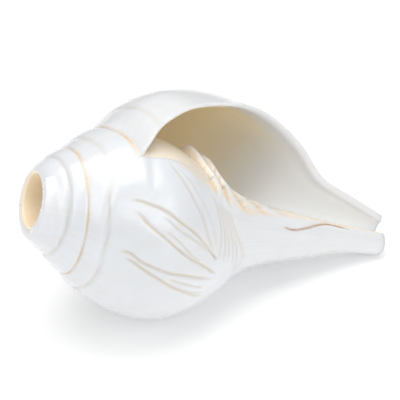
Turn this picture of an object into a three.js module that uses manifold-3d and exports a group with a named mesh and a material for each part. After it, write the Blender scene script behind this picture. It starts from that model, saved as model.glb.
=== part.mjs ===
// Sacred chank (shankha): a right-handed sea snail's shell, polished, with its apex sawn off as a
// blow hole. It grew as one piece, so it is one solid.
//
// The shell is described in its own coiling frame. "a" is the distance along the coiling axis, from
// the sawn end towards the tip of the canal, and "r" the distance out from that axis. "turn" counts
// whorls back from the lip: 0 at the lip, -1 one whorl earlier. "station" runs from 0 at the suture,
// where a whorl meets the one before it, to 1 at the tip of the canal. Lengths are in millimetres.

import * as THREE from 'three';
import Module from 'manifold-3d';

// ---- driving dimensions -------------------------------------------------------------------------

const GROWTH = 1.44;            // each whorl is this many times the size of the one before
const APEX_A = -20;             // where the spire's cone would come to its point
const SPIRE_SLOPE = 0.75;       // radius gained per millimetre along the spire
const SUTURE_A = 21.6;          // the suture's place at SUTURE_TURN
const SUTURE_TURN = -0.14;
const SUTURE_DIP = 5;           // the suture drops towards the canal as it reaches the lip
const DIP_TURNS = 0.17;
const SPIRE_BULGE = 1.6;        // how far each spire whorl swells between its sutures

const STATIONS = [0, 0.08, 0.16, 0.26, 0.38, 0.5, 0.6, 0.7, 0.78, 0.84, 0.89, 0.95, 1];
const SPIRE_STATION = 0.16;     // what is above this shows on the spire once the next whorl covers it

// Outlines of the shell, [a, r], at the stations after the suture, one whorl back, at the foot
// of the body whorl and at the lip.
const BACK_TURN = -1;
const FOOT_TURN = -0.55;
const BACK_OUTLINE = [
  [18, 28.6], [29.3, 32.2], [33.5, 32.4], [40, 31.6], [49, 28.6], [57, 24.4],
  [65, 20], [74, 16.8], [86, 15], [104, 13], [128, 10.4], [150, 7],
];
const FOOT_OUTLINE = [
  [19.2, 30.8], [26, 34.6], [37, 39], [50, 40.4], [61, 37.4], [71, 31.6],
  [80, 24.6], [87, 18], [98, 13.6], [115, 9.8], [133, 5.8], [152, 4.8],
];
const LIP_OUTLINE = [
  [35, 40.6], [42, 44.6], [52, 48], [69, 49.5], [86, 47], [98, 42],
  [109, 34.6], [116.5, 27], [122, 22.6], [131, 19], [141, 15.2], [151, 11.2],
];

// The lip leans back as it rises to the suture: its angle at each station, in degrees.
const LIP_ANGLES = [48, 36, 29, 23, 17, 8, 5, 4, 3, 3, 3, 3, 3];

const WALL = 3;                 // mean thickness of the shell
const WALL_SWAY = 0.42;         // share by which it thickens and thins round each whorl
const THICK_TURN = -0.36;       // thickest low at the back, which is what keeps it from rolling
const CALLUS = 0.25;            // thin glaze that the animal lays over the whorl before
const LIFT = 1.2;               // the mouth's cut then clears the whorl before by this much
const OPEN_TURNS = 0.36;        // how far past the lip the mouth stays open
const FLARE = 14;               // how far the mouth's cut reaches beyond the lip
const HOLLOW_START = -2.75;     // where the whorls' hollow begins, above the sawn end
const HOLLOW_FOOT = 0.69;       // lowest station of the hollow where it has no canal
const CANAL_TURNS = 0.4;        // how far behind the lip the canal begins
const CLEAR = 0.35;             // the hollow is left out where it would be thinner than this

// The pillar inside the whorls: [station, a, r] below the wall of the whorl before.
const PILLAR = [[0.78, 74, 13.6], [0.84, 86, 9.6], [0.89, 104, 7], [0.95, 128, 4.6], [1, 150, 3.6]];
const PILLAR_START = 0.7;       // station where the pillar takes over from the whorl before
const RISE_TURNS = [0.04, 0.16]; // how far past the lip the pillar's front takes to rise to the
const RISE_STATIONS = [0.46, 0.71]; // outside, at the first of these stations and at the second
const FOLDS = [0.60, 0.68, 0.75]; // stations of the three folds that wind round the pillar
const FOLD_HEIGHT = 2.2;
const FOLD_HALF_WIDTH = 0.035;

const SAWN_A = -2;              // plane of the sawn end
const RIM_RADIUS = 12.6;        // outer edge of the flat that the saw left
const SHOULDER = 2;             // rounding between that flat and the spire
const HOLE_RADIUS = 10;
const HOLE_RISE = 0.5;          // the hole was opened this far above the coiling axis
const HOLE_DEPTH = 20;

// How the shell lies: canal end down, and turned about its own axis.
const NOSE_DOWN = THREE.MathUtils.degToRad(21.5);
const ROLL = THREE.MathUtils.degToRad(-24.8);

const COLUMNS = 45;             // facets round one whorl
const HOLLOW_COLUMNS = 32;
const OUTER_POINTS = 12;        // points down the hollow's outer wall
const INNER_POINTS = 20;        // points down its inner wall

// ---- the growth law -----------------------------------------------------------------------------

const smooth = (x) => THREE.MathUtils.smoothstep(x, 0, 1);

/** Value at x of a smooth curve through values given at rising knots. */
function along(knots, values, x) {
  const last = knots.length - 1;
  let i = 0;
  while (i < last - 1 && x >= knots[i + 1]) i += 1;
  const step = knots[i + 1] - knots[i];
  const slope = (j) => {
    const lo = Math.max(j - 1, 0);
    const hi = Math.min(j + 1, last);
    return (values[hi] - values[lo]) / (knots[hi] - knots[lo]);
  };
  if (x > knots[last]) return values[last] + slope(last) * (x - knots[last]);
  const u = (x - knots[i]) / step;
  const rise = u * u * (3 - 2 * u);
  return values[i] * (1 - rise) + values[i + 1] * rise
    + step * (slope(i) * u * (1 - u) ** 2 - slope(i + 1) * u * u * (1 - u));
}

/** The suture at a turn, as [a, r]. */
function suture(turn) {
  const cone = (SUTURE_A - APEX_A) * GROWTH ** (turn - SUTURE_TURN);
  const dip = SUTURE_DIP * smooth((turn + DIP_TURNS) / DIP_TURNS);
  return [APEX_A + cone + dip, cone * SPIRE_SLOPE];
}

/** Quadratic through the three outlines, so that the body whorl swells evenly to the lip. */
function blendOutlines(turn, point, axis) {
  const t = THREE.MathUtils.clamp(turn, BACK_TURN, 0.3);
  const b = BACK_TURN;
  const f = FOOT_TURN;
  return BACK_OUTLINE[point][axis] * ((t - f) * t) / ((b - f) * b)
    + FOOT_OUTLINE[point][axis] * ((t - b) * t) / ((f - b) * f)
    + LIP_OUTLINE[point][axis] * ((t - b) * (t - f)) / (b * f);
}

/** The outside of the shell at a turn: the [a, r] of each station. Cached, as it is asked often. */
const outlineCache = new Map();
function outline(turn) {
  const key = turn.toFixed(5);
  if (outlineCache.has(key)) return outlineCache.get(key);
  const size = GROWTH ** Math.min(turn - BACK_TURN, 0);
  const points = [suture(turn)];
  BACK_OUTLINE.forEach((_, i) => {
    points.push([
      APEX_A + (blendOutlines(turn, i, 0) - APEX_A) * size,
      blendOutlines(turn, i, 1) * size,
    ]);
  });
  const covered = 1 - smooth((turn - BACK_TURN) / 0.12);
  const next = suture(turn + 1);
  const swell = SPIRE_BULGE * GROWTH ** Math.min(turn, 0);
  const middle = [(points[0][0] + next[0]) / 2, (points[0][1] + next[1]) / 2 + swell];
  [[1, middle], [2, next]].forEach(([i, target]) => {
    points[i] = points[i].map((value, axis) => THREE.MathUtils.lerp(value, target[axis], covered));
  });
  outlineCache.set(key, points);
  return points;
}

/** A point of the outside, moved out from the wall by "offset". */
function outside(turn, station, offset = 0) {
  const points = outline(turn);
  const as = points.map((p) => p[0]);
  const rs = points.map((p) => p[1]);
  const at = (x) => [along(STATIONS, as, x), along(STATIONS, rs, x)];
  const [a, r] = at(station);
  if (offset === 0) return [a, r];
  const before = at(Math.max(station - 0.01, 0));
  const after = at(station + 0.01);
  const da = after[0] - before[0];
  const dr = after[1] - before[1];
  const length = Math.hypot(da, dr);
  return [a - (offset * dr) / length, r + (offset * da) / length];
}

const lean = (station) => LIP_ANGLES[0] - along(STATIONS, LIP_ANGLES, Math.min(station, 1));

/** Share of the lip's lean that the growth has at a place: none where a spire whorl shows. */
const leanShare = (turn, station) => (
  Math.max(smooth((station - SPIRE_STATION) / 0.2), smooth((turn + 0.5) / 0.5)));

/** Angle about the axis, in turns, of a place that grew at a turn. Sutures keep to whole turns. */
function angleTurns(turn, station) {
  return turn + (LIP_ANGLES[0] - lean(station) * leanShare(turn, station)) / 360;
}

/** The growth turn that sits at a given angle, the inverse of angleTurns. */
function turnAtAngle(turns, station) {
  let turn = turns - LIP_ANGLES[0] / 360;
  for (let i = 0; i < 6; i += 1) turn += turns - angleTurns(turn, station);
  return turn;
}

/** A place in space from a, r and an angle in turns. */
function place(a, r, turns) {
  const angle = turns * 2 * Math.PI + ROLL;
  return new THREE.Vector3(a, -r * Math.sin(angle), r * Math.cos(angle));
}

// ---- solids -------------------------------------------------------------------------------------

const wallAt = (turn) => WALL * (1 + WALL_SWAY * Math.cos(2 * Math.PI * (turn - THICK_TURN)));

const spread = (count) => Array.from({ length: count }, (_, i) => i / (count - 1));

const wasm = await Module();
wasm.setup();

/** A manifold solid from points and triangles. */
function solid(points, triangles) {
  const vertProperties = new Float32Array(points.flatMap((p) => [p.x, p.y, p.z]));
  const triVerts = new Uint32Array(triangles.flat());
  return new wasm.Manifold(new wasm.Mesh({ numProp: 3, vertProperties, triVerts }));
}

/** The shell as if it were full, from above the sawn end to the tip of the canal. */
function fullShell() {
  const firstTurn = -3;
  const columns = -firstTurn * COLUMNS;
  const backColumn = columns - COLUMNS;
  const stations = [0, 0.08, 0.16, 0.21, 0.26, 0.32, 0.38, 0.44, 0.5, 0.55, 0.6, 0.65, 0.7, 0.74, 0.78,
    0.84, 0.89, 0.95, 1];
  const tip = stations.length - 1;
  const points = [];
  const ids = new Map();
  const vertex = (column, k) => {
    if (k === 2 && column <= backColumn) return vertex(column + COLUMNS, 0);
    const key = column * 100 + k;
    if (!ids.has(key)) {
      const turns = column / COLUMNS + firstTurn + LIP_ANGLES[0] / 360;
      ids.set(key, points.length);
      points.push(place(...outside(turnAtAngle(turns, stations[k]), stations[k]), turns));
    }
    return ids.get(key);
  };
  const triangles = [];
  const quad = (p, q, r, s) => triangles.push([p, q, r], [p, r, s]);
  for (let column = 0; column < columns; column += 1) {
    const last = column < backColumn ? 2 : tip;
    for (let k = 0; k < last; k += 1) {
      quad(vertex(column, k), vertex(column + 1, k), vertex(column + 1, k + 1), vertex(column, k + 1));
    }
  }
  // the step down from the lip to the whorl before it
  triangles.push([vertex(columns, 0), vertex(columns, 2), vertex(columns, 1)]);
  for (let k = 2; k < tip; k += 1) {
    quad(vertex(columns, k), vertex(backColumn, k), vertex(backColumn, k + 1), vertex(columns, k + 1));
  }
  const apex = points.push(new THREE.Vector3(APEX_A / 2, 0, 0)) - 1;
  for (let column = 0; column < COLUMNS; column += 1) {
    triangles.push([apex, vertex(column + 1, 0), vertex(column, 0)]);
  }
  triangles.push([apex, vertex(0, 1), vertex(0, 2)], [apex, vertex(0, 0), vertex(0, 1)]);
  const end = points.push(new THREE.Vector3(LIP_OUTLINE.at(-1)[0], 0, 0)) - 1;
  for (let column = backColumn; column < columns; column += 1) {
    triangles.push([end, vertex(column, tip), vertex(column + 1, tip)]);
  }
  triangles.push([end, vertex(columns, tip), vertex(backColumn, tip)]);
  return solid(points, triangles);
}

/** The wall on the axis side of the hollow: the whorl before, then the pillar with its folds. */
function innerWall(turn, station) {
  const size = GROWTH ** Math.min(turn, 0);
  const [wallA, wallR] = outside(turn - 1, Math.min(station, PILLAR_START), CALLUS);
  let a = wallA;
  let r = wallR;
  if (station > PILLAR_START) {
    const knots = [PILLAR_START, ...PILLAR.map((p) => p[0])];
    a = along(knots, [(wallA - APEX_A) / size + APEX_A, ...PILLAR.map((p) => p[1])], station);
    r = along(knots, [wallR / size, ...PILLAR.map((p) => p[2])], station);
    a = APEX_A + (a - APEX_A) * size;
    r *= size;
  }
  FOLDS.forEach((centre) => {
    const across = Math.abs(station - centre) / FOLD_HALF_WIDTH;
    r += FOLD_HEIGHT * size * (1 - smooth(across));
  });
  // past the lip the pillar's front rises to meet the outside, first at the top and last at the tip
  const pastStep = turn - (lean(station) * leanShare(turn - 1, station)) / 360;
  const lift = LIFT * smooth((pastStep - 0.01) / 0.05);
  const skin = outside(turn - 1, station, CALLUS + lift);
  const reach = THREE.MathUtils.mapLinear(station, ...RISE_STATIONS, ...RISE_TURNS);
  const risesBy = THREE.MathUtils.clamp(reach, ...RISE_TURNS);
  const rise = smooth(turn / risesBy);
  return [THREE.MathUtils.lerp(a, skin[0], rise), THREE.MathUtils.lerp(r, skin[1], rise)];
}

/** Where the hollow narrows out beside the suture: its stations on the outer and the inner wall. */
function corner(turn) {
  if (turn > 0) return [0.02, 0.165];
  const step = 0.005;
  let inner = 0.17;
  for (let outer = 0.02; outer < 0.4; outer += step) {
    const [a, r] = outside(turn, outer, -wallAt(turn));
    while (innerWall(turn, inner + step)[0] < a) inner += step;
    if (innerWall(turn, inner)[1] + CLEAR < r) return [outer, inner];
  }
  throw new Error(`the hollow has no corner at turn ${turn}`);
}

/** Section of the hollow at a turn: places in space down its outer wall and down its inner wall. */
function hollowSection(turn) {
  const open = smooth((turn + CANAL_TURNS) / (CANAL_TURNS * 0.7));
  const lowest = THREE.MathUtils.lerp(HOLLOW_FOOT, 1.06, open);
  const [outerTop, innerTop] = corner(turn);
  const down = (top, share) => top + (lowest - top) * share;
  const outer = spread(OUTER_POINTS).map((share) => {
    const station = down(outerTop, share);
    return place(...outside(turn, station, turn > 0 ? FLARE : -wallAt(turn)), angleTurns(turn, station));
  });
  const inner = spread(INNER_POINTS).map((share) => {
    const station = down(innerTop, share);
    return place(...innerWall(turn, station), angleTurns(turn - 1, station) + 1);
  });
  return { outer, inner };
}

/** The space that the animal lived in, wound from above the sawn end to beyond the lip. */
function hollow() {
  const turns = [];
  for (let i = Math.round(HOLLOW_START * HOLLOW_COLUMNS); i <= 0; i += 1) turns.push(i / HOLLOW_COLUMNS);
  turns.push(0.004);
  for (let i = 1; i <= OPEN_TURNS * HOLLOW_COLUMNS; i += 1) turns.push(i / HOLLOW_COLUMNS);
  const sections = turns.map(hollowSection);
  const size = OUTER_POINTS + INNER_POINTS;
  const points = sections.flatMap(({ outer, inner }) => [...outer, ...inner.toReversed()]);
  const triangles = [];
  for (let i = 0; i < sections.length - 1; i += 1) {
    for (let j = 0; j < size; j += 1) {
      const next = (j + 1) % size;
      const p = i * size;
      const q = p + size;
      triangles.push([p + j, q + j, q + next], [p + j, q + next, p + next]);
    }
  }
  // each end is closed across, from the outer wall to the inner
  const close = (first, turnRound) => {
    let o = 0;
    let n = 0;
    while (o < OUTER_POINTS - 1 || n < INNER_POINTS - 1) {
      const stepOuter = o / (OUTER_POINTS - 1) <= n / (INNER_POINTS - 1) && o < OUTER_POINTS - 1;
      const corners = [first + o, first + size - 1 - n];
      if (stepOuter) o += 1; else n += 1;
      corners.push(stepOuter ? first + o : first + size - 1 - n);
      triangles.push(turnRound ? corners.toReversed() : corners);
    }
  };
  close(0, true);
  close((sections.length - 1) * size, false);
  return solid(points, triangles);
}

/** A turned shape from a closed profile of [a, r], its centre line raised above the coiling axis. */
function turned(profile, rise = 0) {
  const points = profile.map(([a, r]) => new THREE.Vector2(r, a));
  const geometry = new THREE.LatheGeometry(points, COLUMNS);
  geometry.rotateZ(-Math.PI / 2);
  geometry.translate(0, 0, rise);
  const position = geometry.getAttribute('position');
  const index = geometry.getIndex().array;
  const ids = new Map();
  const merged = [];
  const idOf = Array.from({ length: position.count }, (_, i) => {
    const p = new THREE.Vector3().fromBufferAttribute(position, i);
    const key = p.toArray().map((x) => Math.round(x * 1e4)).join();
    if (!ids.has(key)) ids.set(key, merged.push(p) - 1);
    return ids.get(key);
  });
  const triangles = [];
  for (let i = 0; i < index.length; i += 3) {
    const t = [idOf[index[i]], idOf[index[i + 1]], idOf[index[i + 2]]];
    if (new Set(t).size === 3) triangles.push(t);
  }
  return solid(merged, triangles);
}

/** What the saw and the grinding took off round the sawn end. */
function sawnAway() {
  const far = 60;
  return turned([
    [APEX_A, 0], [APEX_A, far], [SAWN_A + SHOULDER, far],
    [SAWN_A + SHOULDER, RIM_RADIUS + SHOULDER * 1.7],
    [SAWN_A + SHOULDER * 0.3, RIM_RADIUS + SHOULDER * 0.75],
    [SAWN_A, RIM_RADIUS], [SAWN_A, 0],
  ]);
}

/** The blow hole, opened out to a round mouthpiece. */
function blowHole() {
  return turned([
    [SAWN_A - 1, 0], [SAWN_A - 1, HOLE_RADIUS], [SAWN_A + HOLE_DEPTH * 0.55, HOLE_RADIUS * 0.94],
    [SAWN_A + HOLE_DEPTH * 0.9, HOLE_RADIUS * 0.6], [SAWN_A + HOLE_DEPTH, 0],
  ], HOLE_RISE);
}

/** A three.js geometry from a manifold solid. */
function toGeometry(body) {
  const { vertProperties, triVerts } = body.getMesh();
  const geometry = new THREE.BufferGeometry();
  geometry.setAttribute('position', new THREE.BufferAttribute(vertProperties, 3));
  geometry.setIndex(new THREE.BufferAttribute(triVerts, 1));
  geometry.computeVertexNormals();
  return geometry;
}

const body = fullShell().subtract(hollow()).subtract(sawnAway()).subtract(blowHole());

const polishedShell = new THREE.MeshStandardMaterial({ color: '#f1efec', roughness: 0.25, metalness: 0 });
const shell = new THREE.Mesh(toGeometry(body), polishedShell);
shell.name = 'shell';
shell.rotation.y = NOSE_DOWN;

const conch = new THREE.Group();
conch.add(shell);
conch.updateMatrixWorld(true);
const box = new THREE.Box3().setFromObject(conch, true);
shell.position.set(-(box.min.x + box.max.x) / 2, -(box.min.y + box.max.y) / 2, -box.min.z);

export default conch;
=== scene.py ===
# %% [markdown]
# # A chank shell, sawn for blowing
# This lesson models one sea snail's shell: a sacred chank, polished white, with its apex sawn off as
# a blow hole and a few leaves carved in its side. A snail adds to its shell only at the lip, and each
# addition is a little larger than the last, so the whole shape follows one rule: an outline that
# turns about an axis while it grows. We write down that rule once, and use it for the outside, for
# the hollow inside, and to lay out the carving.

# %% Load the frame
import math

import bpy
import numpy as np
from mathutils import Matrix, Vector
from mathutils.kdtree import KDTree


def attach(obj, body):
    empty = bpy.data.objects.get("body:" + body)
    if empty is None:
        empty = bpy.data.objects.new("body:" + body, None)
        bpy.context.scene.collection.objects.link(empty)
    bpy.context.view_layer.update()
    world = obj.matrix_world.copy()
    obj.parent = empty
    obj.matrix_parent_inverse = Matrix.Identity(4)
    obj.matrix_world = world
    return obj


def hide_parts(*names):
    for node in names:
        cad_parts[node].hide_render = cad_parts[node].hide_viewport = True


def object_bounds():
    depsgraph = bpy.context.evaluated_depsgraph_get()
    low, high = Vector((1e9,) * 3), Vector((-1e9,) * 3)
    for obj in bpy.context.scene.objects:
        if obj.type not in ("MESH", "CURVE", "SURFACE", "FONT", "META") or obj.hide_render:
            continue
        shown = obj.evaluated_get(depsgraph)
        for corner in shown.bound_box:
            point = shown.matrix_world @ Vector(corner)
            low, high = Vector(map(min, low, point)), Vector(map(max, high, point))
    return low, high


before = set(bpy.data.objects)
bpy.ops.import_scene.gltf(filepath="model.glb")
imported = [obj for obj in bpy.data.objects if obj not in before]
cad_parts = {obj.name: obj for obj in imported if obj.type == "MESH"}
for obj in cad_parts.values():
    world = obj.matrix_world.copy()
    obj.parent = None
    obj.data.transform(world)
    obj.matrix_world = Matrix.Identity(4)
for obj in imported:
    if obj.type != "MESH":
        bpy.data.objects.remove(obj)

cad_box = [list(corner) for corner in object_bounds()]
print("CAD box in mm:", np.round(np.array(cad_box) * 1000, 1).tolist())

# %% [markdown]
# ## The growth law
# We measure along the coiling axis, *a*, and out from it, *r*, in millimetres. *Turn* counts whorls
# back from the lip, and *station* runs from 0 at the suture, the seam between two whorls, to 1 at the
# tip of the canal. Three outlines are enough: one whorl back, at the foot of the body whorl, and at
# the lip. A quadratic through them makes the body whorl swell, and further back everything is the
# same shape made smaller by the growth rate.

# %% The shell's driving sizes
GROWTH = 1.44            # each whorl is this many times the one before
APEX_A = -20.0           # where the spire's cone would come to a point
SPIRE_SLOPE = 0.75
SUTURE_A, SUTURE_TURN = 21.6, -0.14
SUTURE_DIP, DIP_TURNS = 5.0, 0.17
SPIRE_BULGE = 1.6
STATIONS = np.array([0, 0.08, 0.16, 0.26, 0.38, 0.5, 0.6, 0.7, 0.78, 0.84, 0.89, 0.95, 1])
SPIRE_STATION = 0.16     # stations above this one show on the spire
BACK_TURN, FOOT_TURN = -1.0, -0.55
BACK_OUTLINE = np.array([
    (18, 28.6), (29.3, 32.2), (33.5, 32.4), (40, 31.6), (49, 28.6), (57, 24.4),
    (65, 20), (74, 16.8), (86, 15), (104, 13), (128, 10.4), (150, 7)])
FOOT_OUTLINE = np.array([
    (19.2, 30.8), (26, 34.6), (37, 39), (50, 40.4), (61, 37.4), (71, 31.6),
    (80, 24.6), (87, 18), (98, 13.6), (115, 9.8), (133, 5.8), (152, 4.8)])
LIP_OUTLINE = np.array([
    (35, 40.6), (42, 44.6), (52, 48), (69, 49.5), (86, 47), (98, 42),
    (109, 34.6), (116.5, 27), (122, 22.6), (131, 19), (141, 15.2), (151, 11.2)])
LIP_ANGLES = np.array([48, 36, 29, 23, 17, 8, 5, 4, 3, 3, 3, 3, 3.0])  # the lip leans back, degrees
NOSE_DOWN, ROLL = math.radians(21.5), math.radians(-24.8)
MM = 0.001
PAST_LIP = 0.3           # turns past the lip that the outline is still drawn to
SPIRE_BLEND = 0.12       # turns in which the spire's rounded bands give way to the body whorl
LEAN_STATIONS, LEAN_TURNS = 0.2, 0.5    # how softly the lip's lean fades out on the spire
NUDGE = 0.01             # step in station for finding which way the outline runs

print("length of the lip's outline along the axis:", LIP_OUTLINE[-1, 0] - LIP_OUTLINE[0, 0], "mm")

# %% Smooth steps and smooth curves
def smooth(x):
    x = np.clip(x, 0, 1)
    return x * x * (3 - 2 * x)


def weights(knots, x):
    """How much each knot's value counts at x, for a smooth curve through the knots."""
    x = np.atleast_1d(np.asarray(x, float))
    last = len(knots) - 1
    i = np.clip(np.searchsorted(knots, x, side="right") - 1, 0, last - 1)
    step = knots[i + 1] - knots[i]
    u = np.minimum((x - knots[i]) / step, 1)
    table = np.zeros((len(x), last + 1))
    row = np.arange(len(x))
    rise = u * u * (3 - 2 * u)
    np.add.at(table, (row, i), 1 - rise)
    np.add.at(table, (row, i + 1), rise)
    past = np.maximum(x - knots[-1], 0)
    for j, share in ((i, step * u * (1 - u) ** 2), (i + 1, -step * u * u * (1 - u)),
                     (np.full_like(i, last), past)):
        low, high = np.maximum(j - 1, 0), np.minimum(j + 1, last)
        np.add.at(table, (row, high), share / (knots[high] - knots[low]))
        np.add.at(table, (row, low), -share / (knots[high] - knots[low]))
    return table


# %% The outline at any turn
def suture(turn):
    """The seam between two whorls, as (a, r)."""
    cone = (SUTURE_A - APEX_A) * GROWTH ** (turn - SUTURE_TURN)
    dip = SUTURE_DIP * smooth((turn + DIP_TURNS) / DIP_TURNS)
    return np.stack([APEX_A + cone + dip, cone * SPIRE_SLOPE], -1)


def outline(turn):
    """The outside at each turn: the (a, r) of every station."""
    turn = np.atleast_1d(np.asarray(turn, float))
    t = np.clip(turn, BACK_TURN, PAST_LIP)[:, None, None]
    b, f = BACK_TURN, FOOT_TURN
    body = (BACK_OUTLINE * ((t - f) * t) / ((b - f) * b) + FOOT_OUTLINE * ((t - b) * t) / ((f - b) * f)
            + LIP_OUTLINE * ((t - b) * (t - f)) / (b * f))
    size = GROWTH ** np.minimum(turn - BACK_TURN, 0)[:, None]
    body[..., 0] = APEX_A + (body[..., 0] - APEX_A) * size
    body[..., 1] *= size
    here, following = suture(turn), suture(turn + 1)
    middle = (here + following) / 2
    middle[:, 1] += SPIRE_BULGE * GROWTH ** np.minimum(turn, 0)
    covered = 1 - smooth((turn - BACK_TURN) / SPIRE_BLEND)[:, None]
    body[:, 0] += (middle - body[:, 0]) * covered
    body[:, 1] += (following - body[:, 1]) * covered
    return np.concatenate([here[:, None], body], 1)


def outside(turn, station, offset=0.0):
    """Points (a, r) of the outside, moved out from the wall by offset."""
    turn, station = np.broadcast_arrays(np.asarray(turn, float), np.asarray(station, float))
    shape = turn.shape
    points = outline(turn.ravel())

    def at(x):
        return np.einsum("nk,nkc->nc", weights(STATIONS, x), points)

    flat = station.ravel()
    here = at(flat)
    if np.any(offset):
        along = at(flat + NUDGE) - at(np.maximum(flat - NUDGE, 0))
        along /= np.linalg.norm(along, axis=1, keepdims=True)
        push = np.broadcast_to(offset, shape).ravel()
        here = here + np.stack([-along[:, 1] * push, along[:, 0] * push], -1)
    return here.reshape(shape + (2,))


# %% The lip's lean
def lean(station):
    """How far the lip leans back at a station, in degrees from its place at the suture."""
    station = np.asarray(station, float)
    angles = weights(STATIONS, np.minimum(station.ravel(), 1)) @ LIP_ANGLES
    return LIP_ANGLES[0] - angles.reshape(station.shape)


def lean_share(turn, station):
    """None of the lip's lean shows on the spire, where the growth keeps to whole turns."""
    below_spire = smooth((station - SPIRE_STATION) / LEAN_STATIONS)
    return np.maximum(below_spire, smooth((turn + LEAN_TURNS) / LEAN_TURNS))


def angle_turns(turn, station):
    """The angle about the axis, in turns, of a place that grew at a turn."""
    return turn + (LIP_ANGLES[0] - lean(station) * lean_share(turn, station)) / 360


def turn_at_angle(turns, station):
    """The turn at which a place grew, from its angle; six rounds bring it close enough."""
    turn = turns - LIP_ANGLES[0] / 360
    for _ in range(6):
        turn = turn + turns - angle_turns(turn, station)
    return turn


print("suture at the lip, a and r:", suture(np.array([0.0])).round(1).tolist())

# %% [markdown]
# ## The hollow
# The animal lived in a tube that winds inside. Its outer wall is the outside moved in by the
# thickness of the shell. Its inner wall is the outside of the whorl before, under a thin glaze that
# the animal lays down, the callus, and below that the pillar, or columella, with its folds. At the
# lip the wall thins to a rounded edge. Past the lip the tube opens out beyond the shell, which cuts
# the mouth, and the front of the pillar rises to meet the outside.

# %% The hollow's walls
WALL, WALL_SWAY, THICK_TURN = 3.0, 0.42, -0.36
LIP_EDGE = 0.5           # half the thickness left at the very edge of the lip
LIP_ROUND = 0.010        # turns over which the lip rounds off
CALLUS = 0.25
LIFT, FLARE, OPEN_TURNS = 1.2, 14.0, 0.36
HOLLOW_START, HOLLOW_FOOT, CANAL_TURNS = -2.75, 0.69, 0.4
CLEAR = 0.35             # the least gap between the hollow's two walls
LIFT_FROM, LIFT_TURNS = 0.01, 0.05      # turns past the lip in which the cutter leaves the outside
RISE_AT_HALF, RISE_SLOPE = 0.06, 0.48   # turns in which the pillar's front rises, by station
RISE_LIMITS = (0.04, 0.16)
CORNER_PAST_LIP = (0.02, 0.165)         # stations on the outer and on the inner wall
SEARCH_STEP = 0.005
PILLAR = np.array([   # station, a and r, from the mouth to the canal's tip
    (0.78, 74, 13.6), (0.84, 86, 9.6), (0.89, 104, 7), (0.95, 128, 4.6), (1, 150, 3.6)])
PILLAR_TOP = 0.70
FOLDS = (0.60, 0.68, 0.75)
FOLD_HEIGHT, FOLD_HALF_WIDTH = 2.2, 0.035


def wall_at(turn):
    """The thickness of the shell's wall at a turn."""
    thickness = WALL * (1 + WALL_SWAY * np.cos(2 * np.pi * (turn - THICK_TURN)))
    near_edge = np.clip(1 + turn / LIP_ROUND, 0, 1)
    return LIP_EDGE + (thickness - LIP_EDGE) * np.sqrt(1 - near_edge ** 2)


# %% The wall on the axis side
def inner_wall(turn, station):
    """The wall on the axis side of the hollow, at one turn: (a, r) for every station."""
    size = GROWTH ** min(turn, 0)
    top = outside(turn - 1, PILLAR_TOP, CALLUS)
    knots = np.array([PILLAR_TOP, *PILLAR[:, 0]])
    grown = np.array([[(top[0] - APEX_A) / size + APEX_A, top[1] / size], *PILLAR[:, 1:]])
    pillar = weights(knots, np.maximum(station, PILLAR_TOP)) @ grown
    pillar = np.stack([APEX_A + (pillar[:, 0] - APEX_A) * size, pillar[:, 1] * size], -1)
    wall = np.where((station > PILLAR_TOP)[:, None], pillar, outside(turn - 1, station, CALLUS))
    for fold in FOLDS:
        wall[:, 1] += FOLD_HEIGHT * size * (1 - smooth(np.abs(station - fold) / FOLD_HALF_WIDTH))
    if turn <= 0:
        return wall
    past_step = turn - lean(station) * lean_share(turn - 1, station) / 360
    skin = outside(turn - 1, station, CALLUS + LIFT * smooth((past_step - LIFT_FROM) / LIFT_TURNS))
    rises_by = np.clip(RISE_AT_HALF + (station - 0.5) * RISE_SLOPE, *RISE_LIMITS)
    rise = smooth(turn / rises_by)[:, None]
    return wall + (skin - wall) * rise


def corner(turn):
    """Where the hollow narrows out beside the suture: its station on each wall."""
    if turn > 0:
        return CORNER_PAST_LIP
    outer, inner = np.arange(0.02, 0.4, SEARCH_STEP), np.arange(0.17, 0.6, SEARCH_STEP)
    roof, floor = outside(turn, outer, -wall_at(turn)), inner_wall(turn, inner)
    gap = roof[:, 1] - np.interp(roof[:, 0], floor[:, 0], floor[:, 1])
    first = int(np.argmax(gap > CLEAR))
    return outer[first], float(np.interp(roof[first, 0], floor[:, 0], inner))


print("wall at the foot and behind the lip:", wall_at(-0.5).round(2), wall_at(-0.02).round(2), "mm")

# %% [markdown]
# ## Weaving the skins
# Both skins are woven flat first: the mesh's X is *a*, its Y is *r*, and its Z is the angle about the
# axis. The weave is closed, so that it is a solid once it is wound: each spire whorl ends on the
# suture of the next, and the step at the lip is filled. Columns are closer together where the carving
# will be, which is the side that faces the viewer.

# %% A small weaver
OUTSIDE, ROOF, PILLAR_SIDE, SAWN, BORED = range(5)   # which wall a point belongs to


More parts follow.
